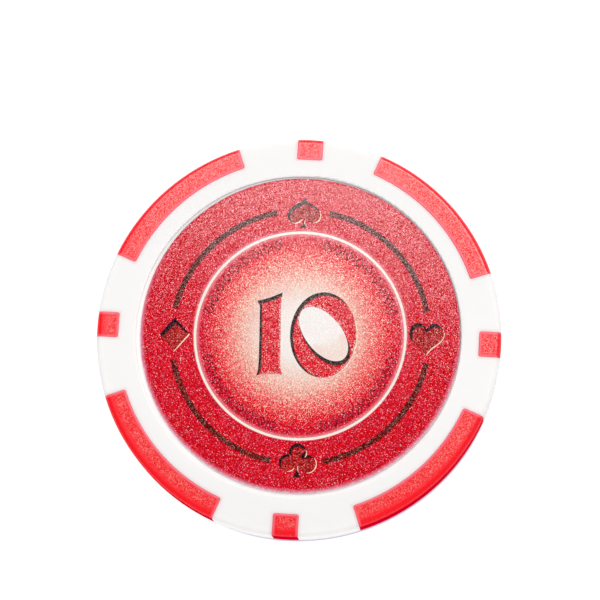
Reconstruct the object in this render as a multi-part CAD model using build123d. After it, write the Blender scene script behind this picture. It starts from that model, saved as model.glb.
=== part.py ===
from build123d import *
import os
from math import cos, hypot, pi, radians, sin

# Casino-style chip used as a golf ball marker, lying flat.
# Frame: millimetres, +Z along the chip's axis, origin at the centre of the face it rests on.
# The front label faces +Z. One short edge spot is centred on +X, the next on +Y.

# ---- chip body ----
chip_d = 40.0
chip_r = chip_d / 2
chip_t = 3.3  # thickness over both faces
mid_z = chip_t / 2
rim_round_r = 0.55  # rounding between each face and the side wall

# ---- edge spots, the same on both faces and down the side wall ----
spot_count = 4  # of each kind, long and short alternating
short_spot_start = 0.0  # degrees from +X to the first spot of the kind
long_spot_start = short_spot_start + 180 / spot_count
long_spot_span = 47.8  # degrees of rim taken by a long spot
long_spot_inner_r = 17.83  # arc where a long spot ends on the face
short_spot_w = 2.53  # between its parallel sides
short_spot_inner = 17.80  # its straight inner edge, from the axis
spot_overshoot = 2.0  # how far a spot's plan runs past the rim
spot_corner_r = 0.24  # plan radius of the inner corners
spot_edge_r = 0.12  # small rounding along a spot's edge against the white

# ---- runner ring and tabs of the red moulding, sunk in the white one ----
runner_inner_r = 15.1
runner_outer_r = 16.7
runner_t = 0.8
long_tab_span = 26.0  # degrees
short_tab_w = 1.5
tab_start_r = runner_outer_r - 0.4  # tabs start inside the runner
tab_spot_overlap = 0.5  # and end inside the spots

# ---- label recess in each face ----
recess_r = 16.08
recess_depth = 0.26
recess_floor_z = chip_t - recess_depth
recess_lip_r = 0.16  # rounding of the lip on the face
recess_root_r = 0.05  # rounding at the foot of the recess wall
recess_tool_rise = 1.0  # how far the cutting tool stands above the face

# ---- label: adhesive, printed film, clear laminate ----
label_r = 15.82
label_dx = 0.17  # the label sits a little off the chip's axis
label_dy = 0.07
adhesive_r = 15.63
adhesive_t = 0.04
film_t = 0.11
laminate_t = 0.06
laminate_edge_rise = 0.03  # the laminate's rim stands up from its flat part
laminate_edge_w = 0.26  # width of that raised rim
laminate_edge_flat = 0.03  # level strip along the top of the rim

# ---- steel weight disc ----
slug_r = 14.4
slug_t = 1.75
slug_edge_chamfer = 0.12
slug_hole_count = 6
slug_hole_start = 30.0  # degrees from +X to the first hole
slug_hole_r = 1.5  # the white plastic stays solid through these
slug_hole_pitch_r = 9.0
slug_drill_extra = 1.0  # drill length beyond the disc's thickness

# Distance from a quarter arc's middle to each tangent line, per unit of radius
ARC_INSET = 1 - cos(pi / 4)
MATCH_TOL = 1e-3  # for matching radii and heights of edges
FACE_TOL = 1e-4  # for edges lying on a chip face


# ---- helpers ----
def revolved(*edges):
    """Solid turned about Z from a closed outline drawn in the XZ plane."""
    return revolve(make_face(Wire(list(edges))), axis=Axis.Z)


def line(start, end):
    """Line between two (x, z) points."""
    return Edge.make_line((start[0], 0, start[1]), (end[0], 0, end[1]))


def arc(start, through, end):
    """Arc through three (x, z) points."""
    return Edge.make_three_point_arc(*[(x, 0, z) for x, z in (start, through, end)])


def polar(radius, degrees):
    return (radius * cos(radians(degrees)), radius * sin(radians(degrees)))


def sector(inner_r, outer_r, span):
    """Flat ring sector centred on +X."""
    half = span / 2
    inner_start, outer_start = polar(inner_r, -half), polar(outer_r, -half)
    outer_end, inner_end = polar(outer_r, half), polar(inner_r, half)
    return make_face(
        Wire(
            [
                Edge.make_line(inner_start, outer_start),
                Edge.make_three_point_arc(outer_start, (outer_r, 0), outer_end),
                Edge.make_line(outer_end, inner_end),
                Edge.make_three_point_arc(inner_end, (inner_r, 0), inner_start),
            ]
        )
    )


def around_chip(shape, start):
    """One copy of the shape for each spot of a kind."""
    return [Rot(0, 0, start + i * 360 / spot_count) * shape for i in range(spot_count)]


def flipped(shape):
    """The same thing on the other face: turned over about the X axis through mid thickness."""
    return Pos(0, 0, mid_z) * Rot(180, 0, 0) * Pos(0, 0, -mid_z) * shape


def chip_blank():
    """The whole chip as one disc, both rims rounded, before anything is cut out of it."""
    face_r = chip_r - rim_round_r
    inset = rim_round_r * ARC_INSET
    wall_top = chip_t - rim_round_r
    return revolved(
        line((0, 0), (face_r, 0)),
        arc((face_r, 0), (chip_r - inset, inset), (chip_r, rim_round_r)),
        line((chip_r, rim_round_r), (chip_r, wall_top)),
        arc((chip_r, wall_top), (chip_r - inset, chip_t - inset), (face_r, chip_t)),
        line((face_r, chip_t), (0, chip_t)),
        line((0, chip_t), (0, 0)),
    )


# ---- edge spots ----
def round_inner_corners(plan):
    corners = [v for v in plan.vertices() if hypot(v.X, v.Y) < chip_r]
    return fillet(corners, spot_corner_r)


def long_spot_plan():
    return round_inner_corners(
        sector(long_spot_inner_r, chip_r + spot_overshoot, long_spot_span)
    )


def short_spot_plan():
    length = chip_r + spot_overshoot - short_spot_inner
    return round_inner_corners(
        Pos(short_spot_inner + length / 2, 0) * Rectangle(length, short_spot_w)
    )


def is_spot_border(edge):
    """True for edges that run over the rim and down the wall, or bound the spot on a face."""
    start, middle, end = [edge.position_at(u) for u in (0, 0.5, 1)]
    face_r = chip_r - rim_round_r
    if abs(start.Z - end.Z) > MATCH_TOL and hypot(middle.X, middle.Y) > face_r - MATCH_TOL:
        return True
    on_face = min(abs(middle.Z), abs(middle.Z - chip_t)) < FACE_TOL
    # The circle where a face meets the rim rounding is no border
    on_rim_circle = all(
        abs(hypot(p.X, p.Y) - face_r) < MATCH_TOL for p in (start, end, middle)
    )
    return on_face and not on_rim_circle


def spot_block(plan, blank):
    """A spot through the chip's full thickness, its visible border lightly rounded."""
    block = extrude(plan, chip_t) & blank
    return fillet([edge for edge in block.edges() if is_spot_border(edge)], spot_edge_r)


# ---- red moulding ----
def runner_web():
    """The runner ring with a tab reaching into each spot."""
    web = Pos(0, 0, mid_z) * (
        Cylinder(runner_outer_r, runner_t) - Cylinder(runner_inner_r, runner_t)
    )
    long_tab = Pos(0, 0, mid_z - runner_t / 2) * extrude(
        sector(tab_start_r, long_spot_inner_r + tab_spot_overlap, long_tab_span), runner_t
    )
    short_tab_end = short_spot_inner + tab_spot_overlap
    short_tab = Pos((tab_start_r + short_tab_end) / 2, 0, mid_z) * Box(
        short_tab_end - tab_start_r, short_tab_w, runner_t
    )
    tabs = around_chip(long_tab, long_spot_start) + around_chip(short_tab, short_spot_start)
    for tab in tabs:
        web = web + tab
    return web


def red_frame(web, blank, long_plan, short_plan):
    frame = web
    for plan, start in ((long_plan, long_spot_start), (short_plan, short_spot_start)):
        for block in around_chip(spot_block(plan, blank), start):
            frame = frame + block
    return frame


# ---- steel weight disc ----
def weight_disc():
    disc = Pos(0, 0, mid_z) * Cylinder(slug_r, slug_t)
    disc = chamfer(disc.edges().filter_by(GeomType.CIRCLE), slug_edge_chamfer)
    for i in range(slug_hole_count):
        x, y = polar(slug_hole_pitch_r, slug_hole_start + i * 360 / slug_hole_count)
        disc = disc - Pos(x, y, mid_z) * Cylinder(slug_hole_r, slug_t + slug_drill_extra)
    return disc


# ---- white moulding ----
def recess_tool():
    """Round tool that sinks the label recess into the front face, lip and root rounded."""
    wall, top, floor = recess_r, chip_t, recess_floor_z
    lip, root = recess_lip_r, recess_root_r
    lip_inset, root_inset = lip * ARC_INSET, root * ARC_INSET
    tool_top = top + recess_tool_rise
    return revolved(
        line((0, floor), (wall - root, floor)),
        arc(
            (wall - root, floor),
            (wall - root_inset, floor + root_inset),
            (wall, floor + root),
        ),
        line((wall, floor + root), (wall, top - lip)),
        arc((wall, top - lip), (wall + lip_inset, top - lip_inset), (wall + lip, top)),
        line((wall + lip, top), (wall + lip, tool_top)),
        line((wall + lip, tool_top), (0, tool_top)),
        line((0, tool_top), (0, floor)),
    )


def white_body(blank, long_plan, short_plan, web, slug):
    """The blank less its recesses and everything moulded into it."""
    recess = recess_tool()
    body = blank - recess - flipped(recess)
    for plan, start in ((long_plan, long_spot_start), (short_plan, short_spot_start)):
        for cut in around_chip(extrude(plan, chip_t), start):
            body = body - cut
    return body - web - slug


# ---- label layers, built for the front face ----
def label_layer(radius, base_z, thickness):
    return Pos(label_dx, label_dy, base_z + thickness / 2) * Cylinder(radius, thickness)


def laminate(base_z):
    """Clear sheet whose rim stands up in a shallow hollow curve."""
    rim_z = laminate_t + laminate_edge_rise
    curve_foot = (label_r - laminate_edge_w, laminate_t)  # tangent to the flat part
    curve_top = (label_r - laminate_edge_flat, rim_z)
    run = curve_top[0] - curve_foot[0]
    curve_r = (run**2 + laminate_edge_rise**2) / (2 * laminate_edge_rise)
    half_run = run / 2
    curve_middle = (
        curve_foot[0] + half_run,
        laminate_t + curve_r - (curve_r**2 - half_run**2) ** 0.5,
    )
    sheet = revolved(
        line((0, 0), (label_r, 0)),
        line((label_r, 0), (label_r, rim_z)),
        line((label_r, rim_z), curve_top),
        arc(curve_top, curve_middle, curve_foot),
        line(curve_foot, (0, laminate_t)),
        line((0, laminate_t), (0, 0)),
    )
    return Pos(label_dx, label_dy, base_z) * sheet


# ---- build and export ----
blank = chip_blank()
long_plan, short_plan = long_spot_plan(), short_spot_plan()
web = runner_web()
slug = weight_disc()

nodes = {
    "steel_weight_disc": slug,
    "red_spot_frame": red_frame(web, blank, long_plan, short_plan),
    "white_chip_body": white_body(blank, long_plan, short_plan, web, slug),
}

film_z = recess_floor_z + adhesive_t
label = {
    "adhesive": label_layer(adhesive_r, recess_floor_z, adhesive_t),
    "print_film": label_layer(label_r, film_z, film_t),
    "overlaminate": laminate(film_z + film_t),
}
for name, shape in label.items():
    nodes[f"front_label_{name}"] = shape
    nodes[f"back_label_{name}"] = flipped(shape)

os.makedirs("parts", exist_ok=True)
for name, shape in nodes.items():
    export_step(shape, f"parts/{name}.step")
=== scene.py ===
# Poker chip: a white moulded body with red edge spots, a steel weight inside and a round
# printed label on each face.
# The chip lies flat on the floor with its axis on Z, front face up at z = THICK. On the front,
# the spade is towards +Y and the heart towards +X. The back is the front turned over about X.
# The key light hangs on the +Y side and the camera looks down from the -Y side.
# Lengths are in millimetres unless a comment says otherwise; MM turns them into metres.

import math
from functools import reduce

import bmesh
import bpy
import numpy as np
from mathutils import Matrix, Vector
from mathutils.geometry import delaunay_2d_cdt


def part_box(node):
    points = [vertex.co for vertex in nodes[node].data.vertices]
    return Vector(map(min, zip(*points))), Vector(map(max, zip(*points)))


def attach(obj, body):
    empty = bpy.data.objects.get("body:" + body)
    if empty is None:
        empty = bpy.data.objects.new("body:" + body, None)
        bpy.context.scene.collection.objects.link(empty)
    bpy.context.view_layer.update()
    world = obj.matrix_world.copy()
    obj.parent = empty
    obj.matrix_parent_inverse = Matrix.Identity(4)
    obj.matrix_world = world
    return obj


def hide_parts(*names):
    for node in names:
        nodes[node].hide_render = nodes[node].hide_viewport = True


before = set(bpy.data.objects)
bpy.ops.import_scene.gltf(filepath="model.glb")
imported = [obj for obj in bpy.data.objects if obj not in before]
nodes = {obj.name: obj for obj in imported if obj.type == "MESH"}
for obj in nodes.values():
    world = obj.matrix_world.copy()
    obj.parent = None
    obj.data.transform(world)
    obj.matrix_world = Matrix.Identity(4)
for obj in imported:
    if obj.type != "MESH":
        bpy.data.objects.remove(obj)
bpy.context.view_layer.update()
scene = bpy.context.scene

MM = 0.001
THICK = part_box("white_chip_body")[1].z / MM
HALF = THICK / 2

film_low, film_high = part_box("front_label_print_film")
LABEL_CENTRE = ((film_low.x + film_high.x) / 2 / MM, (film_low.y + film_high.y) / 2 / MM)
LABEL_RADIUS = (film_high.x - film_low.x) / 2 / MM
LABEL_BOTTOM = film_low.z / MM
# the flat of the label lies a little below the top of the CAD laminate
LABEL_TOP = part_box("front_label_overlaminate")[1].z / MM - 0.03
RIM_WIDTH = 0.26  # part of the label's rim that visibly turns up
RIM_RISE = 0.006

# bottom and top of the thin slabs of ink, and of the highlights over them
INK_LAYER = (LABEL_TOP - 0.004, LABEL_TOP + 0.006)
SHINE_LAYER = (LABEL_TOP + 0.002, LABEL_TOP + 0.010)

# the print sits turned and shifted by a hair against the moulded spots
TURN_COS, TURN_SIN = math.cos(math.radians(2.1)), math.sin(math.radians(2.1))
SHIFT_X, SHIFT_Y = 0.20, -0.07

# cream ring in the print
RING_RADIUS, RING_WIDTH = 10.385, 0.240

# edge spots: short ones lie on the X and Y axes, long ones on the diagonals
LONG_SPOT_INNER, LONG_SPOT_SPAN = 17.83, math.radians(47.8)
SHORT_SPOT_INNER, SHORT_SPOT_WIDTH = 17.80, 2.53


def print_to_body(point):
    x, y = point
    return (TURN_COS * x - TURN_SIN * y + SHIFT_X, TURN_SIN * x + TURN_COS * y + SHIFT_Y)


def body_to_print(point):
    x, y = point[0] - SHIFT_X, point[1] - SHIFT_Y
    return (TURN_COS * x + TURN_SIN * y, -TURN_SIN * x + TURN_COS * y)


# ---------------------------------------------------------------- colours and node networks

LIGHT = 1.10  # what a white matt face reads under this light
HAZE = 0.012  # veil of reflected light over the print, taken off its colours
DARKEST = 0.0015


def srgb(*colour):
    """Linear colour of an 8-bit sRGB one."""
    parts = [v / 255 for v in colour]
    return tuple(v / 12.92 if v <= 0.04045 else ((v + 0.055) / 1.055) ** 2.4 for v in parts)


def albedo(*colour):
    """Surface colour that reads as the given sRGB colour under this light."""
    return tuple(max((v - HAZE) / LIGHT, DARKEST) for v in srgb(*colour))


def rgba(colour):
    return (*colour, 1.0)


class Net:
    """Node network of a material or a world, built with short calls."""

    def __init__(self, owner):
        self.owner = owner
        owner.use_nodes = True
        self.tree = owner.node_tree
        self.tree.nodes.clear()

    def node(self, kind, **props):
        count = len(self.tree.nodes)
        node = self.tree.nodes.new(kind)
        node.location = (220 * (count % 8), -260 * (count // 8))
        for key, value in props.items():
            setattr(node, key, value)
        return node

    def put(self, socket, value):
        """Link a socket to another one, or set its value."""
        if isinstance(value, bpy.types.NodeSocket):
            self.tree.links.new(value, socket)
        else:
            socket.default_value = rgba(value) if socket.type == "RGBA" else value

    def math(self, operation, *values):
        node = self.node("ShaderNodeMath", operation=operation)
        for socket, value in zip(node.inputs, values):
            self.put(socket, value)
        return node.outputs[0]

    def add(self, *terms):
        return reduce(lambda a, b: self.math("ADD", a, b), terms)

    def mul(self, *factors):
        return reduce(lambda a, b: self.math("MULTIPLY", a, b), factors)

    def sub(self, a, b):
        return self.math("SUBTRACT", a, b)

    def swing(self, value, depth):
        """A 0..1 value taken about its middle and scaled by depth."""
        return self.mul(self.sub(value, 0.5), depth)

    def centred_sum(self, a, b):
        return self.add(self.sub(a, 0.5), self.sub(b, 0.5))

    def toward(self, angle, degrees):
        """Cosine of the angle from a direction: 1 towards it, -1 away from it."""
        return self.math("COSINE", self.sub(angle, math.radians(degrees)))

    def vec(self, operation, *vectors, scale=None):
        node = self.node("ShaderNodeVectorMath", operation=operation)
        for socket, vector in zip(node.inputs, vectors):
            self.put(socket, vector)
        if scale is not None:
            self.put(node.inputs["Scale"], scale)
        return node.outputs["Value" if operation in ("LENGTH", "DOT_PRODUCT") else 0]

    def split(self, vector):
        node = self.node("ShaderNodeSeparateXYZ")
        self.put(node.inputs[0], vector)
        return tuple(node.outputs)

    def join(self, *parts):
        node = self.node("ShaderNodeCombineXYZ")
        for socket, value in zip(node.inputs, parts):
            self.put(socket, value)
        return node.outputs[0]

    def ease(self, value, span, out=(0.0, 1.0), kind="SMOOTHSTEP"):
        """Goes from out[0] at span[0] to out[1] at span[1], and stays level beyond both."""
        node = self.node("ShaderNodeMapRange", interpolation_type=kind)
        for socket, number in zip(node.inputs, (value, *span, *out)):
            self.put(socket, number)
        return node.outputs[0]

    def mix(self, factor, a, b):
        node = self.node("ShaderNodeMix", data_type="RGBA")
        for index, value in ((0, factor), (6, a), (7, b)):
            self.put(node.inputs[index], value)
        return node.outputs[2]

    def tint(self, colour, tone, mask, strength=None):
        """Colour moved towards a tone where the mask is up."""
        if strength is not None:
            mask = self.mul(mask, strength)
        return self.mix(mask, colour, tone)

    def gamma(self, colour, power):
        node = self.node("ShaderNodeGamma")
        self.put(node.inputs[0], colour)
        self.put(node.inputs[1], power)
        return node.outputs[0]

    def ramp(self, value, stops):
        node = self.node("ShaderNodeValToRGB")
        elements = node.color_ramp.elements
        while len(elements) > 1:
            elements.remove(elements[-1])
        elements[0].position, elements[0].color = stops[0][0], rgba(stops[0][1])
        for position, colour in stops[1:]:
            elements.new(position).color = rgba(colour)
        self.put(node.inputs[0], value)
        return node.outputs[0]

    def noise(self, place, scale, detail, rough):
        node = self.node("ShaderNodeTexNoise")
        self.put(node.inputs["Vector"], place)
        self.put(node.inputs["Scale"], scale)
        self.put(node.inputs["Detail"], detail)
        self.put(node.inputs["Roughness"], rough)
        return node.outputs[0]

    def cell_colour(self, place, scale):
        """Random colour per Voronoi cell."""
        node = self.node("ShaderNodeTexVoronoi")
        self.put(node.inputs["Vector"], place)
        self.put(node.inputs["Scale"], scale)
        return node.outputs["Color"]

    def attribute(self, name, output):
        return self.node("ShaderNodeAttribute", attribute_name=name).outputs[output]

    def position(self):
        """Position in the object's own frame, in millimetres."""
        coordinates = self.node("ShaderNodeTexCoord")
        return self.vec("SCALE", coordinates.outputs["Object"], scale=1 / MM)

    def bump(self, height, distance, normal=None):
        """Bumped normal; the distance is in metres."""
        node = self.node("ShaderNodeBump")
        self.put(node.inputs["Height"], height)
        self.put(node.inputs["Distance"], distance)
        if normal is not None:
            self.put(node.inputs["Normal"], normal)
        return node.outputs[0]

    def finish(self, colour, rough, normal=None, specular=0.5, metallic=0.0, **extra):
        shader = self.node("ShaderNodeBsdfPrincipled")
        self.put(shader.inputs["Base Color"], colour)
        self.put(shader.inputs["Roughness"], rough)
        self.put(shader.inputs["Metallic"], metallic)
        self.put(shader.inputs["Specular IOR Level"], specular)
        for key, value in extra.items():
            self.put(shader.inputs[key.replace("_", " ")], value)
        if normal is not None:
            self.put(shader.inputs["Normal"], normal)
        self.put(self.node("ShaderNodeOutputMaterial").inputs[0], shader.outputs[0])
        return self.owner


def new_net(name):
    return Net(bpy.data.materials.new(name))


# ---------------------------------------------------------------- grain

GRAIN_FINE, GRAIN_COARSE = 16.0, 14.0  # cells per mm of the label's two facet layers
GRAIN_TILT = 0.096  # how far the label's facets lean
# strength of the grain in red, green and blue, in displayed tone
GRAIN_RGB = (0.26, 0.72, 0.50)
DARK_INK_RGB = (0.44, 0.49, 0.45)
LABEL_ROUGH, LABEL_SPECULAR = 0.085, 0.80
DISPLAY_GAMMA = 2.2
COARSE_OFFSET = (31.7, 11.3, 5.1)  # keeps the coarse facets apart from the fine ones
FINE_LEAN, COARSE_LEAN = 0.8, 0.6


def facets(net, pos, fine, coarse, tilt):
    """Tiny facets: a normal tipped per facet, and the random values of both layers."""
    fine_colour = net.cell_colour(pos, fine)
    coarse_colour = net.cell_colour(net.vec("ADD", pos, COARSE_OFFSET), coarse)
    lean = net.vec("ADD", *(
        net.vec("SCALE", net.vec("SUBTRACT", colour, (0.5, 0.5, 0.5)), scale=share)
        for colour, share in ((fine_colour, FINE_LEAN), (coarse_colour, COARSE_LEAN))
    ))
    geometry = net.node("ShaderNodeNewGeometry")
    normal = geometry.outputs["Normal"]
    # at a grazing look the facets hide one another, so their lean fades out
    facing = net.math("ABSOLUTE", net.vec("DOT_PRODUCT", normal, geometry.outputs["Incoming"]))
    tilt = net.mul(tilt, net.ease(facing, span=(0.02, 0.45), out=(0.05, 1.0)))
    tipped = net.vec("NORMALIZE", net.vec("ADD", normal, net.vec("SCALE", lean, scale=tilt)))
    return tipped, net.split(fine_colour), net.split(coarse_colour)


def speckle(net, base, main, other, strength):
    """Adds grain to the displayed tone, so it looks equally strong on dark and pale ink."""
    red, green, blue = strength
    seen = net.gamma(base, 1 / DISPLAY_GAMMA)
    # red follows the main grain and a second, unrelated one
    red_grain = net.add(net.mul(main, red * 0.6), net.mul(other, red * 0.8))
    grain = net.join(red_grain, net.mul(main, green), net.mul(main, blue))
    tone = net.vec("MAXIMUM", net.vec("ADD", seen, grain), (0.0, 0.0, 0.0))
    return net.gamma(net.vec("MINIMUM", tone, (1.0, 1.0, 1.0)), DISPLAY_GAMMA)


def grained(net, pos, base, amount, red_amount=None, dip=0.10, strength=GRAIN_RGB):
    """Print under the sparkling laminate: colour, roughness, normal and specular for finish.

    dip darkens the grain as a whole; red_amount is the amount of the second grain.
    """
    lean = net.ease(amount, span=(0.0, 0.7), out=(0.25, 1.0), kind="LINEAR")
    normal, fine, coarse = facets(
        net, pos, fine=GRAIN_FINE, coarse=GRAIN_COARSE, tilt=net.mul(lean, GRAIN_TILT)
    )
    soft = net.noise(pos, scale=6.0, detail=1.0, rough=0.6)
    # painted glints: a few facets are lightened in colour as if they caught the light
    painted_glints = net.add(*(net.ease(layer[2], span=(0.88, 1.0)) for layer in (fine, coarse)))
    painted_glint_strength = 0.55
    main = net.add(net.centred_sum(fine[2], coarse[2]), net.mul(painted_glints, painted_glint_strength))
    main = net.mul(net.sub(main, dip), amount)
    if red_amount is None:
        red_amount = amount
    # the second grain is weaker towards +Y
    by_place = net.ease(net.split(pos)[1], span=(-2.0, 9.0), out=(1.25, 0.35))
    other = net.mul(net.centred_sum(fine[0], coarse[1]), red_amount, by_place)
    # some facets mirror the light better than others
    mirror = net.ease(net.add(fine[2], coarse[2]), span=(0.40, 1.60), out=(0.44, 1.52))
    return {
        "colour": speckle(net, base, main, other, strength),
        "rough": net.add(LABEL_ROUGH, net.swing(soft, depth=0.08)),
        "normal": normal,
        "specular": net.mul(LABEL_SPECULAR, mirror),
    }


# ---------------------------------------------------------------- label and ink materials

# glow of the label: radius about GLOW_CENTRE, sRGB colour
GLOW_CENTRE, GLOW_REACH = (0.0, 0.29, 0.0), 16.5
GLOW = [
    (0.0, (249, 242, 237)), (2.6, (248, 238, 232)), (3.3, (246, 230, 222)),
    (4.4, (244, 213, 201)), (5.4, (245, 194, 181)), (6.2, (243, 166, 154)),
    (7.0, (243, 128, 126)), (8.0, (242, 86, 98)), (9.0, (234, 53, 83)),
    (9.9, (229, 27, 81)), (10.6, (229, 12, 74)), (13.0, (228, 10, 72)),
    (15.0, (227, 10, 72)), (16.0, (222, 10, 74)),
]


def ring_painted_glow(net, pos):
    """Mask of a painted pale glow on both sides of the cream ring, wider outwards at +Y."""
    off = net.sub(net.vec("LENGTH", pos), RING_RADIUS)
    half = RING_WIDTH / 2
    reach = net.ease(net.split(pos)[1], span=(-4.0, 6.0), out=(0.10, 0.36))
    outer = net.ease(off, span=(net.add(reach, half), half - 0.04))
    return net.mul(outer, net.ease(off, span=(-half - 0.42, -half)))


def label_edge_light_and_shade(net, pos, colour):
    """Painted light and shade at the label's cut edge, where the laminate turns up."""
    place = net.attribute("label_mm", "Vector")
    x, y, _ = net.split(place)
    radius = net.vec("LENGTH", place)
    angle = net.math("ARCTAN2", y, x)
    side = net.ease(net.toward(angle, degrees=-104), span=(-0.50, 0.45), out=(0.06, 1.0))
    rag_noise = net.noise(pos, scale=2.6, detail=2.0, rough=0.6)
    ragged = net.add(radius, net.swing(rag_noise, depth=0.30))
    # painted sheen on the side away from the key: a pink-violet haze, then a pale painted highlight
    # line at the very edge
    edge_sheen = net.ease(ragged, span=(LABEL_RADIUS - 0.46, LABEL_RADIUS + 0.02), out=(0.0, 0.80))
    colour = net.tint(colour, srgb(230, 146, 172), net.mul(edge_sheen, side))
    pale = net.ease(ragged, span=(LABEL_RADIUS - 0.13, LABEL_RADIUS + 0.09), out=(0.0, 0.85))
    colour = net.tint(colour, srgb(240, 226, 228), net.mul(pale, side))
    # painted shade: on the key's side the cut edge shows as a hair of dark violet-grey, the
    # shadowed gap at the label's edge
    edge_gap_shade = net.mul(
        net.ease(radius, span=(LABEL_RADIUS - 0.060, LABEL_RADIUS - 0.015)),
        net.ease(side, span=(0.62, 0.10)),
    )
    return net.tint(colour, srgb(92, 62, 92), edge_gap_shade, strength=0.75)


def make_label_material():
    net = new_net("label_print_grained")
    pos = net.attribute("print_mm", "Vector")
    radius = net.vec("LENGTH", net.vec("SUBTRACT", pos, GLOW_CENTRE))
    stops = [(stop / GLOW_REACH, albedo(*colour)) for stop, colour in GLOW]
    base = net.ramp(net.mul(radius, 1 / GLOW_REACH), stops)
    # patchy strength of the glow, so the fade isn't a perfect disc
    patches = net.swing(net.noise(pos, scale=0.55, detail=2.0, rough=0.5), depth=0.25)
    patches = net.mul(net.ease(radius, span=(9.5, 5.0)), patches)
    base = net.tint(base, srgb(250, 240, 235), patches)
    # less grain where the ink is pale
    look = grained(
        net, pos, base,
        amount=net.ease(radius, span=(2.5, 10.2), out=(0.11, 1.0)),
        red_amount=net.ease(radius, span=(5.5, 9.5), out=(0.3, 1.0)),
        dip=net.ease(radius, span=(7.0, 10.2), out=(0.08, 0.45)),
    )
    # painted glow of pale light round the cream ring
    ring_glow = ring_painted_glow(net, pos)
    colour = net.tint(look["colour"], srgb(245, 182, 190), ring_glow, strength=0.40)
    # painted sheen and shade at the label's cut edge
    look["colour"] = label_edge_light_and_shade(net, pos, colour)
    return net.finish(**look)


def make_ink(name, base, dark, pale, amount=1.0, gloss=1.0, strength=GRAIN_RGB):
    """Ink with two painted tones: the point attributes dark and pale say where."""
    net = new_net(name)
    pos = net.attribute("print_mm", "Vector")
    dark_mask = net.attribute("dark", "Fac")
    colour = net.mix(net.attribute("pale", "Fac"), albedo(*base), albedo(*pale))
    # the dark tone breaks up into specks at its soft side
    specks = net.split(net.cell_colour(pos, GRAIN_FINE))[2]
    edge = net.ease(net.add(dark_mask, net.swing(specks, depth=0.80)), span=(0.20, 0.70))
    where = net.mul(edge, net.ease(dark_mask, span=(0.0, 0.12)))
    colour = net.tint(colour, albedo(*dark), where)
    amount = net.mul(net.ease(edge, span=(0.0, 1.0), out=(1.0, 0.45)), amount)
    look = grained(net, pos, colour, amount, strength=strength)
    look["specular"] = net.mul(look["specular"], gloss)
    return net.finish(**look)


# ---------------------------------------------------------------- body materials


def spot_distance(net, pos):
    """Distance from the nearest spot's border seen from above, negative inside; and radius."""
    x, y, _ = net.split(pos)
    abs_x, abs_y = net.math("ABSOLUTE", x), net.math("ABSOLUTE", y)
    high, low = net.math("MAXIMUM", abs_x, abs_y), net.math("MINIMUM", abs_x, abs_y)
    radius = net.math("SQRT", net.add(net.mul(x, x), net.mul(y, y)))
    # short spot: a rectangle, open outwards
    short = net.math(
        "MAXIMUM", net.sub(SHORT_SPOT_INNER, high), net.sub(low, SHORT_SPOT_WIDTH / 2)
    )
    # long spot: distance to its radial ends and to its inner arc
    off = net.sub(math.pi / 4, net.math("ARCTAN2", low, high))  # angle from the diagonal
    end = net.mul(radius, net.math("SINE", net.sub(off, LONG_SPOT_SPAN / 2)))
    long = net.math("MAXIMUM", net.sub(LONG_SPOT_INNER, radius), end)
    return net.math("MINIMUM", short, long), radius


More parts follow.
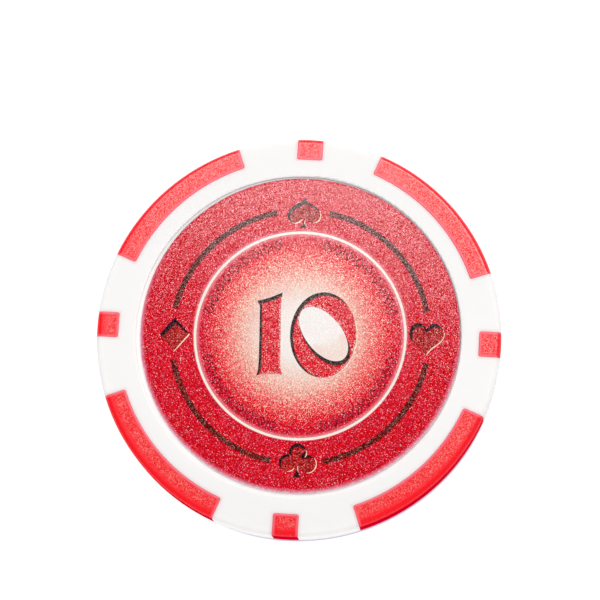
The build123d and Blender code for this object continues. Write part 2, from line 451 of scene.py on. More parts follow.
def make_red_plastic():
    net = new_net("red_plastic_spark_grain")
    pos = net.position()
    x, y, z = net.split(pos)
    distance, radius = spot_distance(net, pos)
    inside_depth = net.mul(distance, -1.0)
    height = net.math("ABSOLUTE", net.sub(z, HALF))  # from the chip's middle plane
    angle = net.math("ARCTAN2", y, x)
    key_side = net.ease(net.toward(angle, degrees=62), span=(-0.50, 0.58))

    # the grain runs out before the smooth rounded rim: early on the far side from the key, close to
    # the crest on the key's side; this dependence on the key is painted light and shade
    fade_start = net.ease(key_side, span=(0.0, 1.0), out=(18.75, 19.48), kind="LINEAR")
    fade_end = net.ease(key_side, span=(0.0, 1.0), out=(19.72, 19.84), kind="LINEAR")
    face = net.mul(
        net.ease(radius, span=(fade_start, fade_end), out=(1.0, 0.0)),
        net.ease(height, span=(HALF - 0.40, HALF - 0.20)),
    )
    core = net.mul(face, net.ease(inside_depth, span=(0.16, 0.42)))
    full_tilt = 0.15
    normal, fine, coarse = facets(
        net, pos, fine=12.5, coarse=9.0, tilt=net.mul(core, full_tilt)
    )
    soft = net.noise(pos, scale=2.6, detail=2.0, rough=0.6)
    cloud = net.noise(pos, scale=0.5, detail=2.0, rough=0.5)
    red = net.mix(face, srgb(246, 5, 26), srgb(238, 51, 59))
    # painted shade: the side wall is painted a darker red than the rim of the same plastic
    wall = net.ease(height, span=(HALF - 0.62, HALF - 0.30), out=(1.0, 0.0))
    red = net.tint(red, srgb(201, 0, 34), wall)

    # frosted tops of the grain read pale, the hollows between them deep
    main = net.add(net.centred_sum(fine[2], coarse[2]), net.swing(soft, depth=0.5))
    other = net.centred_sum(fine[0], coarse[1])
    colour = speckle(
        net, red, net.mul(main, core), net.mul(other, core), strength=(0.03, 0.38, 0.28)
    )
    # red thins towards the white moulding and lets it show through as pink
    thin = net.mul(
        net.ease(inside_depth, span=(0.36, 0.03)),
        net.ease(height, span=(HALF - 0.6, HALF - 0.05)),
    )
    colour = net.tint(colour, srgb(255, 128, 148), thin, strength=0.60)
    colour = net.tint(colour, srgb(200, 0, 12), net.swing(cloud, depth=0.10))

    # painted highlight of the key: a broken pale line along the rim's crest, near the key
    crest_radius = net.ease(key_side, span=(0.3, 1.0), out=(19.40, 19.56), kind="LINEAR")
    from_crest = net.sub(radius, crest_radius)
    breaks = net.noise(pos, scale=1.4, detail=1.0, rough=0.5)
    painted_crest_highlight = net.mul(
        net.ease(from_crest, span=(-0.07, -0.01)),
        net.ease(from_crest, span=(0.07, 0.01)),
        net.ease(net.toward(angle, degrees=52), span=(0.66, 0.92)),
        net.ease(breaks, span=(0.35, 0.62), out=(0.1, 0.42)),
    )
    colour = net.tint(colour, srgb(255, 196, 172), painted_crest_highlight)
    # painted shade: past the crest the rim is painted a deep red on the key's side
    painted_rim_shade = net.mul(net.ease(radius, span=(19.62, 19.78)), key_side)
    colour = net.tint(colour, srgb(232, 40, 58), painted_rim_shade, strength=0.75)
    texture = net.noise(pos, scale=9.0, detail=2.0, rough=0.6)
    core_rough = net.ease(core, span=(0.0, 1.0), out=(0.26, 0.22))
    return net.finish(
        colour,
        rough=net.add(core_rough, net.swing(soft, depth=0.10)),
        normal=net.bump(texture, distance=0.0000010, normal=normal),
        specular=net.ease(height, span=(HALF - 0.45, HALF - 0.05), out=(0.0, 0.58)),
    )


def make_white_plastic():
    net = new_net("white_plastic_satin")
    pos = net.position()
    x, y, z = net.split(pos)
    distance, radius = spot_distance(net, pos)
    cloud = net.noise(pos, scale=0.28, detail=2.0, rough=0.5)
    fine = net.noise(pos, scale=7.0, detail=2.0, rough=0.55)
    middle = net.noise(pos, scale=1.6, detail=2.0, rough=0.5)
    colour = net.mix(cloud, (0.834, 0.819, 0.806), (0.846, 0.832, 0.820))
    # painted glow: light from the red moulding through the plastic is painted as a pink tint a
    # little way into the white beside each spot
    near = net.ease(distance, span=(0.0, 0.5), out=(1.0, 0.0))
    near = net.mul(near, net.ease(radius, span=(17.2, 17.9)))
    colour = net.tint(colour, srgb(255, 150, 155), net.mul(near, near), strength=0.24)
    colour = net.tint(colour, (0.75, 0.74, 0.74), net.swing(fine, depth=0.05))
    normal = net.bump(fine, distance=0.0000022)
    normal = net.bump(middle, distance=0.0000030, normal=normal)

    # painted glow: emission lifts the shallow groove round the label on one side, standing in for
    # light through the plastic
    height = net.math("ABSOLUTE", net.sub(z, HALF))
    angle = net.math("ARCTAN2", y, x)
    open_side = net.ease(net.toward(angle, degrees=-125), span=(-0.2, 0.5))
    deep = net.ease(height, span=(HALF - 0.02, HALF - 0.12))
    groove_lift, lip_lift = 0.12, 0.13  # emission strengths
    painted_groove_glow = net.mul(
        net.ease(radius, span=(16.10, 15.98)), deep, net.mul(open_side, groove_lift)
    )
    # and painted glow lifts its rounded lip all the way round
    painted_lip_glow = net.mul(
        net.ease(radius, span=(15.94, 16.02)),
        net.ease(radius, span=(16.24, 16.10)),
        net.ease(height, span=(HALF - 0.24, HALF - 0.15)),
    )
    # painted shade: the white is darkened a touch towards the light at +Y, which keeps the faces
    # even
    painted_shade_toward_key = net.ease(y, span=(-8.0, 20.0), out=(0.0, 0.05))
    base_rough = 0.42
    return net.finish(
        # white with painted shade towards +Y
        net.tint(colour, (0.0, 0.0, 0.0), painted_shade_toward_key),
        rough=net.add(base_rough, net.swing(middle, depth=0.16)),
        normal=normal,
        specular=0.10,
        Emission_Color=(1.0, 0.99, 0.98),
        # painted glow in the groove and on its lip
        Emission_Strength=net.add(painted_groove_glow, net.mul(painted_lip_glow, lip_lift)),
        Subsurface_Weight=0.6,
        Subsurface_Radius=(0.0006, 0.0006, 0.0006),
        Subsurface_Scale=1.0,
    )


def make_steel():
    net = new_net("zinc_plated_steel")
    x, y, z = net.split(net.position())
    # noise stretched along X and squeezed along Y gives brush lines
    stretch_x, squeeze_y = 0.3, 9.0
    place = net.join(net.mul(x, stretch_x), net.mul(y, squeeze_y), z)
    brushed = net.noise(place, scale=1.0, detail=4.0, rough=0.6)
    return net.finish(
        net.mix(brushed, (0.50, 0.51, 0.53), (0.62, 0.63, 0.65)),
        rough=net.ease(brushed, span=(0.0, 1.0), out=(0.26, 0.42)),
        normal=net.bump(brushed, distance=0.000004),
        metallic=1.0,
    )


def make_adhesive():
    net = new_net("label_adhesive_film")
    lumps = net.noise(net.position(), scale=1.4, detail=3.0, rough=0.6)
    colour = net.mix(lumps, (0.80, 0.78, 0.72), (0.87, 0.86, 0.82))
    return net.finish(colour, rough=0.55, normal=net.bump(lumps, distance=0.000006))


def make_laminate():
    net = new_net("label_laminate_satin")
    cells = net.node("ShaderNodeSeparateColor")
    net.put(cells.inputs[0], net.cell_colour(net.position(), scale=8.0))
    colour = net.mix(cells.outputs[0], albedo(214, 34, 50), albedo(205, 28, 44))
    return net.finish(colour, rough=0.3, normal=net.bump(cells.outputs[2], distance=0.000003))


MAT_LABEL = make_label_material()
MAT_RED = make_red_plastic()
MAT_WHITE = make_white_plastic()
MAT_STEEL = make_steel()
MAT_ADHESIVE = make_adhesive()
MAT_LAMINATE = make_laminate()
MAT_NUMERAL = make_ink(
    "ink_numeral_red", base=(225, 26, 61), dark=(74, 48, 56), pale=(226, 118, 134)
)
MAT_SUIT = make_ink(
    "ink_suit_maroon", base=(174, 2, 34), dark=(56, 34, 42), pale=(214, 110, 118),
    amount=0.95, gloss=0.8, strength=DARK_INK_RGB,
)
MAT_ARC = make_ink(
    "ink_arc_black", base=(105, 14, 31), dark=(60, 40, 44), pale=(110, 60, 62),
    amount=0.95, gloss=0.75, strength=DARK_INK_RGB,
)
MAT_MARK = make_ink(
    "ink_mark_maroon", base=(142, 30, 48), dark=(90, 30, 40), pale=(190, 80, 90),
    amount=0.8, strength=DARK_INK_RGB,
)
MAT_RING = make_ink(
    "ink_ring_cream", base=(251, 240, 229), dark=(230, 220, 200), pale=(255, 253, 246),
    amount=0.12,
)
MAT_SHINE = make_ink(
    "ink_highlight_cream", base=(255, 228, 196), dark=(240, 190, 150), pale=(255, 244, 220),
    amount=0.35,
)
MAT_COUNTER = make_ink(
    "ink_counter_white", base=(250, 244, 240), dark=(240, 210, 200), pale=(247, 226, 216),
    amount=0.14,
)

# ---------------------------------------------------------------- curves in the print frame

STEP = 0.05  # spacing of points along a curve


def spline(points):
    """Catmull-Rom curve through the points."""
    known = [np.array(point, float) for point in points]
    known = [2 * known[0] - known[1]] + known + [2 * known[-1] - known[-2]]
    curve = []
    for p0, p1, p2, p3 in zip(known, known[1:], known[2:], known[3:]):
        count = max(2, int(np.linalg.norm(p2 - p1) / STEP + 0.5))
        for j in range(count):
            t = j / count
            curve.append(
                0.5
                * (
                    2 * p1
                    + (p2 - p0) * t
                    + (2 * p0 - 5 * p1 + 4 * p2 - p3) * t * t
                    + (3 * p1 - p0 - 3 * p2 + p3) * t**3
                )
            )
    curve.append(known[-2])
    return [(float(point[0]), float(point[1])) for point in curve]


def line(start, end):
    start, end = np.array(start, float), np.array(end, float)
    count = max(1, int(np.linalg.norm(end - start) / STEP + 0.5))
    return [tuple(start + (end - start) * i / count) for i in range(count + 1)]


def arc(centre, radius_x, radius_y, start, end, turn=0.0, step=STEP):
    """Arc of an ellipse, angles in degrees; turn rotates the ellipse about its centre."""
    count = max(3, int(abs(math.radians(end - start)) * max(radius_x, radius_y) / step))
    turn_cos, turn_sin = math.cos(math.radians(turn)), math.sin(math.radians(turn))
    points = []
    for i in range(count + 1):
        angle = math.radians(start + (end - start) * i / count)
        x, y = radius_x * math.cos(angle), radius_y * math.sin(angle)
        points.append(
            (centre[0] + turn_cos * x - turn_sin * y, centre[1] + turn_sin * x + turn_cos * y)
        )
    return points


def ellipse(centre, radius_x, radius_y, turn=0.0, step=STEP):
    return arc(centre, radius_x, radius_y, 0, 360, turn, step)[:-1]


def closed(*curves):
    """Closed outline from curves that each start where the last one ends."""
    return [point for curve in curves for point in curve[:-1]]


def outline(*runs):
    """Closed outline from runs of points joined at sharp corners, each smoothed on its own."""
    return closed(*(spline(run) if len(run) > 2 else line(*run) for run in runs))


def spread_widths(path, widths):
    """Width at each point of a path, from a few widths spaced evenly along it."""
    return np.interp(np.linspace(0, 1, len(path)), np.linspace(0, 1, len(widths)), widths)


def ribbon(path, widths):
    """Closed outline of a stroke along a path."""
    middle = np.asarray(path, float)
    half = spread_widths(middle, widths)[:, None] / 2
    along = np.gradient(middle, axis=0)
    along /= np.maximum(np.linalg.norm(along, axis=1), 1e-9)[:, None]
    across = np.stack([-along[:, 1], along[:, 0]], 1)
    left, right = middle + across * half, middle - across * half
    return [tuple(point) for point in left] + [tuple(point) for point in right[::-1]]


def inside(points, loops):
    """True for points inside an odd number of the loops."""
    x, y = points[:, 0], points[:, 1]
    result = np.zeros(len(points), bool)
    for loop in loops:
        for (x1, y1), (x2, y2) in zip(loop, loop[1:] + loop[:1]):
            if y1 == y2:
                continue
            crossed = (y1 > y) != (y2 > y)
            result ^= crossed & (x < (x2 - x1) * (y - y1) / (y2 - y1) + x1)
    return result


def distances(points, path):
    """Distance from each point to each sample of a path."""
    return np.linalg.norm(points[:, None, :] - np.asarray(path, float)[None, :, :], axis=2)


def tone(points, strokes, soft):
    """0..1 strength of painted strokes (path, widths), fading softly at their width."""
    strength = np.zeros(len(points))
    for path, widths in strokes:
        reach = np.maximum(spread_widths(path, widths), 1e-4)
        nearest = (distances(points, path) / reach[None, :]).min(1)
        value = np.clip((1 + soft - nearest) / (2 * soft), 0, 1)
        strength = np.maximum(strength, value * value * (3 - 2 * value))
    return strength


# ---------------------------------------------------------------- meshes


def mesh_object(name, verts, faces, material, attributes, smooth_angle=None):
    """Object from vertices in mm; attributes are per point, numbers or vectors."""
    mesh = bpy.data.meshes.new(name)
    mesh.from_pydata([(x * MM, y * MM, z * MM) for x, y, z in verts], [], faces)
    mesh.validate()
    editor = bmesh.new()
    editor.from_mesh(mesh)
    bmesh.ops.recalc_face_normals(editor, faces=editor.faces)
    editor.to_mesh(mesh)
    editor.free()
    for key, values in attributes.items():
        values = np.asarray(values, np.float32)
        kind, field = ("FLOAT_VECTOR", "vector") if values.ndim == 2 else ("FLOAT", "value")
        mesh.attributes.new(key, kind, "POINT").data.foreach_set(field, values.ravel())
    if smooth_angle is not None:
        mesh.polygons.foreach_set("use_smooth", [True] * len(mesh.polygons))
        mesh.set_sharp_from_angle(angle=math.radians(smooth_angle))
    mesh.materials.append(material)
    obj = bpy.data.objects.new(name, mesh)
    scene.collection.objects.link(obj)
    return obj


def on_side(point, back):
    """A point of the front, turned over about X for the back."""
    return (point[0], -point[1], THICK - point[2]) if back else point


def raised(points, z, back):
    """Print points placed on the body at a height."""
    return [on_side(print_to_body(point) + (z,), back) for point in points]


def ink_patch(name, loops, back, material, spacing, dark=(), pale=(), pale_soft=0.6):
    """Thin closed slab of ink inside the loops, on a triangular grid of the given spacing."""
    flat, edges = [], []
    for loop in loops:
        first, count = len(flat), len(loop)
        flat += [Vector(point) for point in loop]
        edges += [(first + i, first + (i + 1) % count) for i in range(count)]
    border = np.array([tuple(point) for point in flat])
    low, high = border.min(0), border.max(0)
    grid_x, grid_y = np.meshgrid(
        np.arange(low[0], high[0], spacing), np.arange(low[1], high[1], spacing * 0.866)
    )
    grid_x[1::2] += spacing / 2
    grid = np.stack([grid_x.ravel(), grid_y.ravel()], 1)
    grid = grid[inside(grid, loops)]
    grid = grid[distances(grid, border).min(1) > spacing * 0.45]
    flat += [Vector(point) for point in grid]

    result = delaunay_2d_cdt(flat, edges, [], 2, 1e-6)
    points, faces = [tuple(v) for v in result[0]], [tuple(face) for face in result[2]]
    middles = np.array([np.mean([points[i] for i in face], axis=0) for face in faces])
    faces = [face for face, solid in zip(faces, inside(middles, loops)) if solid]
    used = sorted({i for face in faces for i in face})
    renumber = {old: new for new, old in enumerate(used)}
    points = [points[i] for i in used]
    faces = [tuple(renumber[i] for i in face) for face in faces]

    # walls stand on the edges that belong to one face only
    count = len(points)
    sides = dict.fromkeys(s for face in faces for s in zip(face, face[1:] + face[:1]))
    walls = [(a, a + count, b + count, b) for a, b in sides if (b, a) not in sides]
    bottoms = [tuple(i + count for i in reversed(face)) for face in faces]
    bottom_z, top_z = INK_LAYER
    verts = raised(points, top_z, back) + raised(points, bottom_z, back)
    places = np.array(points)
    attributes = {
        "print_mm": [(x, y, 0.0) for x, y in points] * 2,
        "dark": list(tone(places, dark, soft=0.3)) * 2,
        "pale": list(tone(places, pale, soft=pale_soft)) * 2,
    }
    return mesh_object(name, verts, faces + bottoms + walls, material, attributes)


def prisms(name, ribbons, back, material, layer=INK_LAYER):
    """Many ribbon outlines raised into closed strips in one object."""
    bottom_z, top_z = layer
    verts, faces, places = [], [], []
    for loop in ribbons:
        count, first = len(loop), len(verts)
        low = first + count  # first vertex of the bottom
        verts += raised(loop, top_z, back) + raised(loop, bottom_z, back)
        places += [(x, y, 0.0) for x, y in loop] * 2
        for i in range(count // 2 - 1):
            quad = (i, i + 1, count - 2 - i, count - 1 - i)
            faces.append(tuple(first + k for k in quad))
            faces.append(tuple(low + k for k in reversed(quad)))
        for i in range(count):
            j = (i + 1) % count
            faces.append((first + j, first + i, low + i, low + j))
    blank = [0.0] * len(verts)
    attributes = {"print_mm": places, "dark": blank, "pale": blank}
    return mesh_object(name, verts, faces, material, attributes)


def label_face(name, back):
    """Printed label with its clear sheet: flat top, rim turned up in a shallow curve."""
    rim_start, rim_run = LABEL_RADIUS - RIM_WIDTH, RIM_WIDTH - 0.04
    rim_top = LABEL_TOP + RIM_RISE
    # radius, height
    profile = [(r, LABEL_TOP) for r in (0.0, 2, 4, 6, 8, 10, 12, 14, rim_start - 0.3)]
    for i in range(13):
        t = i / 12
        profile.append((rim_start + rim_run * t, LABEL_TOP + RIM_RISE * t**1.9))
    profile += [
        (LABEL_RADIUS - 0.015, rim_top - 0.002),
        (LABEL_RADIUS, rim_top - 0.016),
        (LABEL_RADIUS, LABEL_BOTTOM + 0.01),
        (LABEL_RADIUS - 0.01, LABEL_BOTTOM),
        (0.0, LABEL_BOTTOM),
    ]
    segments = 288
    centre_x, centre_y = LABEL_CENTRE
    verts, faces, rings = [], [], []
    for radius, z in profile:
        count = segments if radius else 1
        rings.append(list(range(len(verts), len(verts) + count)))
        for k in range(count):
            angle = 2 * math.pi * k / segments
            x, y = radius * math.cos(angle), radius * math.sin(angle)
            verts.append((centre_x + x, centre_y + y, z))
    for ring, following in zip(rings, rings[1:]):
        for k in range(segments):
            j = (k + 1) % segments
            if len(ring) == 1:
                faces.append((ring[0], following[k], following[j]))
            elif len(following) == 1:
                faces.append((ring[j], ring[k], following[0]))
            else:
                faces.append((ring[k], following[k], following[j], ring[j]))
    attributes = {
        "print_mm": [body_to_print(v) + (0.0,) for v in verts],
        "label_mm": [(v[0] - centre_x, v[1] - centre_y, 0.0) for v in verts],
    }
    verts = [on_side(v, back) for v in verts]
    return mesh_object(name, verts, faces, MAT_LABEL, attributes, smooth_angle=35)


# ---------------------------------------------------------------- print motifs
# Outlines are x, y points in the print frame. The dark and pale strokes painted into a motif
# are a path and the widths spaced evenly along it.

SPADE_L = [
    (0.08, 14.02), (-0.10, 13.72), (-0.40, 13.47), (-0.87, 13.22), (-1.32, 12.82),
    (-1.52, 12.40), (-1.56, 12.03), (-1.45, 11.70), (-1.16, 11.43), (-0.81, 11.34),
    (-0.42, 11.45), (-0.10, 11.74),
]
SPADE_R = [
    (0.24, 11.75), (0.58, 11.50), (1.04, 11.38), (1.45, 11.55), (1.68, 11.86), (1.71, 12.28),
    (1.55, 12.72), (1.08, 13.14), (0.60, 13.40), (0.27, 13.70), (0.08, 14.02),
]
SPADE_STEM_L = [(-0.10, 11.74), (0.00, 11.50), (-0.05, 11.25), (-0.17, 11.07), (-0.36, 10.93)]
SPADE_STEM_R = [(0.50, 10.93), (0.31, 11.06), (0.18, 11.25), (0.13, 11.50), (0.24, 11.75)]

HEART_L = [
    (12.47, 0.75), (12.30, 1.08), (12.00, 1.32), (11.62, 1.41), (11.20, 1.27), (10.90, 0.92),
    (10.77, 0.42), (10.80, 0.05), (10.95, -0.28), (11.25, -0.60), (11.62, -0.95),
    (12.02, -1.32), (12.44, -1.79),
]
HEART_R = [
    (12.44, -1.79), (12.72, -1.42), (13.10, -1.06), (13.52, -0.74), (13.88, -0.42),
    (14.12, -0.05), (14.20, 0.32), (14.10, 0.72), (13.84, 1.08), (13.50, 1.33),
    (13.15, 1.40), (12.80, 1.24), (12.56, 0.98), (12.47, 0.75),
]

# corners: top, left, bottom, right
DIAMOND = [(-12.44, 1.59), (-13.88, -0.12), (-12.44, -1.87), (-10.94, -0.06)]

# lobes: centre, radius
CLUB_TOP = ((0.11, -11.65), 0.86)
CLUB_LEFT = ((-0.87, -12.70), 0.85)
CLUB_RIGHT = ((1.08, -12.80), 0.86)
CLUB_STEM_L = [(0.02, -12.98), (0.03, -13.30), (-0.06, -13.68), (-0.20, -13.95), (-0.42, -14.15)]
CLUB_STEM_R = [(0.55, -14.12), (0.34, -13.92), (0.21, -13.66), (0.13, -13.30), (0.14, -12.98)]

ONE_TOP = [(-1.83, 4.28), (-2.55, 3.97), (-3.35, 3.66), (-4.32, 3.40)]
ONE_FLAG = [(-4.32, 3.40), (-4.20, 3.18), (-4.05, 2.96)]
ONE_LEFT = [
    (-4.05, 2.96), (-4.03, 1.5), (-4.01, -0.08), (-4.00, -1.6), (-4.00, -2.70),
    (-4.05, -3.55), (-4.20, -4.12),
]
ONE_BASE = [(-4.20, -4.12), (-3.55, -3.98), (-2.90, -3.94), (-2.20, -3.95), (-1.60, -4.00)]
ONE_RIGHT = [
    (-1.60, -4.00), (-1.80, -3.45), (-1.86, -2.63), (-1.91, -0.03), (-1.95, 2.57),
    (-1.92, 3.45), (-1.83, 4.28),
]

# centre and half axes of the zero and of the slanted hole in it
ZERO_CENTRE, ZERO_AXES = (2.29, 0.07), (3.27, 4.29)
COUNTER_CENTRE, COUNTER_AXES, COUNTER_TURN = (2.32, 0.16), (3.20, 1.77), -50.3

# four dark arcs round the ring; the angles are of the first one
ARC_CENTRE, ARC_RADIUS, ARC_WIDTH = (0.0, -0.07), 12.72, 0.56
ARC_START, ARC_END = 11.7, 78.4

# marks inside the ring, alternating lozenge and bar
MARK_RADIUS, MARK_HALF_HEIGHT, MARK_HALF_WIDTH = 9.35, 0.46, 0.34
MARK_LINE = 0.12
MARK_PITCH = 3.75  # degrees


def numeral_one(name, back):
    loop = outline(ONE_TOP, ONE_FLAG, ONE_LEFT, ONE_BASE, ONE_RIGHT)
    dark = [
        (spline(ONE_TOP), [0.32, 0.38, 0.38, 0.31]),
        (spline(ONE_FLAG), [0.24, 0.17, 0.19]),
        (spline(ONE_LEFT), [0.20, 0.24, 0.25, 0.26, 0.26, 0.29, 0.21]),
    ]
    pale = [
        (spline(ONE_RIGHT), [0.08, 0.16, 0.17, 0.18, 0.18, 0.14, 0.02]),
        (spline(ONE_BASE), [0.03, 0.12, 0.15, 0.15, 0.08]),
    ]
    return ink_patch(name, [loop], back, MAT_NUMERAL, spacing=0.075, dark=dark, pale=pale)


def zero_arc(start, end, grow=0.0):
    return arc(ZERO_CENTRE, ZERO_AXES[0] + grow, ZERO_AXES[1] + grow, start, end)


def counter_arc(start, end, scale=1.0):
    radius_x, radius_y = COUNTER_AXES
    return arc(COUNTER_CENTRE, radius_x * scale, radius_y * scale, start, end, COUNTER_TURN)


def numeral_zero(name, back):
    loops = [ellipse(ZERO_CENTRE, *ZERO_AXES), ellipse(COUNTER_CENTRE, *COUNTER_AXES, COUNTER_TURN)]
    dark = [
        (zero_arc(48, 262), [0.05, 0.29, 0.39, 0.40, 0.37, 0.30, 0.24, 0.16, 0.02]),
        (counter_arc(-128, 62), [0.01, 0.11, 0.24, 0.38, 0.44, 0.37, 0.18, 0.01]),
    ]
    pale = [
        (counter_arc(66, 250), [0.03, 0.15, 0.22, 0.25, 0.22, 0.15, 0.02]),
        (zero_arc(-100, 40), [0.02, 0.12, 0.17, 0.17, 0.10, 0.02]),
    ]
    return ink_patch(name, loops, back, MAT_NUMERAL, spacing=0.085, dark=dark, pale=pale)


def zero_counter(name, back):
    gap = 0.005
    axes = [axis - gap for axis in COUNTER_AXES]
    loop = ellipse(COUNTER_CENTRE, *axes, COUNTER_TURN)
    pale = [(counter_arc(-80, 60, scale=0.8), [0.2, 0.9, 1.3, 0.9, 0.2])]
    return ink_patch(name, [loop], back, MAT_COUNTER, spacing=0.12, pale=pale, pale_soft=0.9)


def suit(name, loop, back, dark):
    return ink_patch(name, [loop], back, MAT_SUIT, spacing=0.06, dark=dark)


def spade(name, back):
    foot = (SPADE_STEM_L[-1], SPADE_STEM_R[0])
    loop = outline(SPADE_L, SPADE_STEM_L, foot, SPADE_STEM_R, SPADE_R)
    return suit(name, loop, back, [
        (spline(SPADE_L[:9]), [0.38, 0.36, 0.35, 0.35, 0.32, 0.29, 0.25, 0.17, 0.04]),
        (spline(SPADE_R[5:]), [0.03, 0.12, 0.16, 0.19, 0.29, 0.38]),
        (spline([(0.05, 11.42), (0.06, 11.2), (-0.05, 11.03)]), [0.14, 0.23, 0.26]),
    ])


def heart(name, back):
    return suit(name, outline(HEART_L, HEART_R), back, [
        (spline(HEART_L[:10]), [0.08, 0.21, 0.30, 0.38, 0.39, 0.38, 0.30, 0.24, 0.14, 0.03]),
        (spline(HEART_R[7:]), [0.03, 0.18, 0.33, 0.36, 0.36, 0.30, 0.24]),
    ])


def lobe_arc(lobe, start, end, grow=0.0):
    centre, radius = lobe
    return arc(centre, radius + grow, radius + grow, start, end)


def club(name, back):
    top = lobe_arc(CLUB_TOP, -30, 212)
    left = lobe_arc(CLUB_LEFT, 75, 318)
    right = lobe_arc(CLUB_RIGHT, -142, 102)
    loop = closed(
        top,
        spline([top[-1], (-0.42, -12.02), (-0.54, -11.98), left[0]]),
        left,
        spline([left[-1], (-0.08, -13.10), CLUB_STEM_L[0]]),
        spline(CLUB_STEM_L),
        line(CLUB_STEM_L[-1], CLUB_STEM_R[0]),
        spline(CLUB_STEM_R),
        spline([CLUB_STEM_R[-1], (0.26, -13.12), right[0]]),
        right,
        spline([right[-1], (0.78, -12.02), (0.80, -12.06), top[0]]),
    )
    return suit(name, loop, back, [
        (lobe_arc(CLUB_TOP, 18, 205), [0.07, 0.27, 0.32, 0.32, 0.30, 0.24, 0.07]),
        (lobe_arc(CLUB_LEFT, 62, 232), [0.07, 0.27, 0.32, 0.30, 0.24, 0.16, 0.04]),
        (lobe_arc(CLUB_RIGHT, 48, 128), [0.05, 0.27, 0.32, 0.16]),
        (spline([(0.08, -13.25), (0.08, -13.65), (0.06, -14.05)]), [0.19, 0.30, 0.57]),
    ])


def diamond(name, back):
    top, left, bottom, right = DIAMOND
    loop = outline((top, left), (left, bottom), (bottom, right), (right, top))
    return suit(name, loop, back, [
        (line(top, left), [0.46, 0.44, 0.42, 0.38]),
        (line(top, right), [0.40, 0.30, 0.24, 0.18, 0.12]),
    ])


def dark_arcs(name, back):
    ribbons = []
    for k in range(4):
        start, end = ARC_START + 90 * k, ARC_END + 90 * k
        path = arc(ARC_CENTRE, ARC_RADIUS, ARC_RADIUS, start, end, step=0.12)
        ribbons.append(ribbon(path, [ARC_WIDTH, ARC_WIDTH]))
    return prisms(name, ribbons, back, MAT_ARC)


def cream_ring(name, back):
    radii = (RING_RADIUS + RING_WIDTH / 2, RING_RADIUS - RING_WIDTH / 2)
    loops = [ellipse((0, 0), radius, radius, step=0.12) for radius in radii]
    return ink_patch(name, loops, back, MAT_RING, spacing=0.14)


def polar(radius, degrees):
    angle = math.radians(degrees)
    return (radius * math.cos(angle), radius * math.sin(angle))


def border_marks(name, back):
    """Four runs of marks inside the ring: small outlined lozenges with a bar between them."""
    ribbons = []
    widths = [MARK_LINE, MARK_LINE]
    outer, inner = MARK_RADIUS + MARK_HALF_HEIGHT, MARK_RADIUS - MARK_HALF_HEIGHT
    half_angle = math.degrees(MARK_HALF_WIDTH / MARK_RADIUS)
    half_bar = MARK_HALF_HEIGHT * 0.8
    for k in range(4):
        for i in range(-8, 9):
            angle = 45 + 90 * k + i * MARK_PITCH
            if i % 2:
                ends = [polar(MARK_RADIUS - half_bar, angle), polar(MARK_RADIUS + half_bar, angle)]
                ribbons.append(ribbon(ends, widths))
                continue
            corners = [
                polar(outer, angle), polar(MARK_RADIUS, angle + half_angle),
                polar(inner, angle), polar(MARK_RADIUS, angle - half_angle),
            ]
            for m in range(4):
                start, end = np.array(corners[m]), np.array(corners[(m + 1) % 4])
                # sides run past the corners so that they overlap
                extra = (end - start) / np.linalg.norm(end - start) * MARK_LINE * 0.32
                ribbons.append(ribbon([tuple(start - extra), tuple(end + extra)], widths))
    return prisms(name, ribbons, back, MAT_MARK)


def edge_highlights(name, back):
    """Thin cream edges that make the figures look cut into the print."""
    _, _, bottom, right = DIAMOND
    strokes = [
        (spline(SPADE_R[2:7]), [0.03, 0.09, 0.10, 0.06, 0.02]),
        (spline(SPADE_L[8:]), [0.02, 0.08, 0.10, 0.07]),
        (spline(SPADE_STEM_R), [0.03, 0.05, 0.05, 0.05, 0.03]),
        (spline(HEART_R[:8]), [0.04, 0.10, 0.11, 0.10, 0.09, 0.08, 0.07, 0.02]),
        (lobe_arc(CLUB_TOP, -34, 12, grow=0.02), [0.07, 0.10, 0.03]),
        (lobe_arc(CLUB_RIGHT, -95, 40, grow=0.02), [0.03, 0.07, 0.10, 0.09, 0.03]),
        (lobe_arc(CLUB_LEFT, 268, 322, grow=0.02), [0.03, 0.09, 0.08]),
        (spline([(0.16, -13.02), (0.15, -13.30), (0.22, -13.60)]), [0.07, 0.06, 0.02]),
        (line(bottom, right), [0.05, 0.10, 0.11, 0.10]),
        (zero_arc(-70, 28, grow=0.06), [0.02, 0.09, 0.10, 0.09, 0.02]),
    ]
    ribbons = [ribbon(path, widths) for path, widths in strokes]
    return prisms(name, ribbons, back, MAT_SHINE, SHINE_LAYER)


MOTIFS = (
    numeral_one, numeral_zero, zero_counter, spade, heart, club, diamond,
    dark_arcs, cream_ring, border_marks, edge_highlights,
)

for side in ("front", "back"):
    back = side == "back"
    face = label_face(f"{side}_label_printed_face", back)
    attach(face, "root")
    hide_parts(f"{side}_label_print_film", f"{side}_label_overlaminate")
    for motif in [build(f"{side}_print_{build.__name__}", back) for build in MOTIFS]:
        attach(motif, "root")

# ---------------------------------------------------------------- CAD pieces

for name, material in {
    "white_chip_body": MAT_WHITE,
    "red_spot_frame": MAT_RED,
    "steel_weight_disc": MAT_STEEL,
    "front_label_adhesive": MAT_ADHESIVE,
    "back_label_adhesive": MAT_ADHESIVE,
    "front_label_print_film": MAT_LABEL,
    "back_label_print_film": MAT_LABEL,
    "front_label_overlaminate": MAT_LAMINATE,
    "back_label_overlaminate": MAT_LAMINATE,
}.items():
    materials = nodes[name].data.materials
    materials.clear()
    materials.append(material)

# ---------------------------------------------------------------- studio, in metres


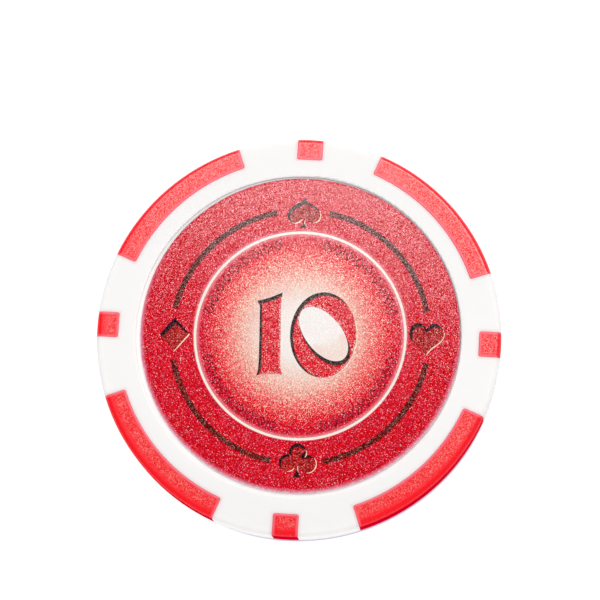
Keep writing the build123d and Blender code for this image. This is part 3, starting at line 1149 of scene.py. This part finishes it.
def make_paper():
    net = new_net("floor_white_paper")
    pos = net.position()
    mottle = net.noise(pos, scale=0.4, detail=3.0, rough=0.5)
    # a hair of violet contact shade where the side wall meets the paper on the camera's side
    x, y, _ = net.split(pos)
    angle = net.math("ARCTAN2", y, x)
    near = net.ease(net.toward(angle, degrees=-65), span=(0.58, 0.90))
    touch = net.mul(net.ease(net.vec("LENGTH", pos), span=(20.14, 19.97)), near)
    return net.finish(
        net.mix(mottle, (0.29, 0.29, 0.29), (0.31, 0.31, 0.31)),
        rough=0.9,
        specular=0.0,
        Emission_Color=net.tint((1.0, 1.0, 1.0), (0.36, 0.30, 0.46), touch, strength=0.92),
        Emission_Strength=0.88,
    )


def make_floor(half_size=4.0, drop=0.00002):
    corners = [(-1, -1), (1, -1), (1, 1), (-1, 1)]
    mesh = bpy.data.meshes.new("floor")
    mesh.from_pydata([(x * half_size, y * half_size, 0) for x, y in corners], [], [(0, 1, 2, 3)])
    floor = bpy.data.objects.new("floor", mesh)
    scene.collection.objects.link(floor)
    mesh.materials.append(make_paper())
    floor.location.z = -drop


def area_light(name, place, target, size, radiance, glossy=True, spin=0.0):
    """Rectangular light aimed at a target; spin turns it about its beam, in degrees."""
    width, depth = size
    light = bpy.data.lights.new(name, "AREA")
    light.shape = "RECTANGLE"
    light.size, light.size_y = width, depth
    light.energy = radiance * math.pi * width * depth  # a matt panel of that radiance
    lamp = bpy.data.objects.new(name, light)
    lamp.location = place
    beam = (Vector(target) - Vector(place)).normalized()
    aim = beam.to_track_quat("-Z", "Y").to_matrix()
    lamp.rotation_euler = (aim @ Matrix.Rotation(math.radians(spin), 3, "Z")).to_euler()
    lamp.visible_camera = False
    lamp.visible_glossy = glossy
    scene.collection.objects.link(lamp)


def make_world(diffuse, glossy, camera):
    """White surroundings whose strength depends on the kind of ray."""
    world = bpy.data.worlds.new("studio_white")
    scene.world = world
    net = Net(world)
    rays = net.node("ShaderNodeLightPath").outputs
    extra = net.add(
        net.mul(rays["Is Glossy Ray"], glossy - diffuse),
        net.mul(rays["Is Camera Ray"], camera - diffuse),
    )
    background = net.node("ShaderNodeBackground")
    net.put(background.inputs["Color"], (1, 1, 1))
    net.put(background.inputs["Strength"], net.add(diffuse, extra))
    net.put(net.node("ShaderNodeOutputWorld").inputs[0], background.outputs[0])


make_floor()
area_light(
    "key_softbox", place=(0.018, 0.166, 0.25), target=(0.018, 0.166, 0.0),
    size=(0.28, 0.20), radiance=4.4, spin=-9,
)
area_light(
    "front_fill", place=(0.0, -0.55, 0.26), target=(0, 0, 0),
    size=(0.9, 0.40), radiance=1.3, glossy=False,
)
make_world(diffuse=0.50, glossy=0.03, camera=1.10)

scene.view_settings.view_transform = "Standard"
scene.view_settings.look = "None"
scene.view_settings.exposure = 0.0
scene.view_settings.gamma = 1.0

# ---------------------------------------------------------------- camera

# the view tilts off the chip's axis and is turned about it
TILT, HEADING, ROLL = math.radians(12.63), math.radians(-74.9), math.radians(-3.4)
FACE_IN_VIEW = Vector((-0.2, -3.3793103, -253.0))  # centre of the front face from the camera
SENSOR, LENS = 36.0, 154.077


def make_camera():
    lean_x = -math.sin(TILT) * math.cos(HEADING)
    lean_y = -math.sin(TILT) * math.sin(HEADING)
    axis = Vector((-lean_y, lean_x, 0)).normalized()
    turn = Matrix.Rotation(TILT, 3, axis) @ Matrix.Rotation(ROLL, 3, "Z")
    to_world = turn.transposed()
    place = -(to_world @ FACE_IN_VIEW) + Vector((0, 0, THICK))
    data = bpy.data.cameras.new("camera")
    data.sensor_width = SENSOR
    data.lens = LENS
    data.clip_start, data.clip_end = 0.01, 20.0  # metres
    camera = bpy.data.objects.new("camera", data)
    camera.matrix_world = Matrix.Translation(place * MM) @ to_world.to_4x4()
    scene.collection.objects.link(camera)
    scene.camera = camera


make_camera()
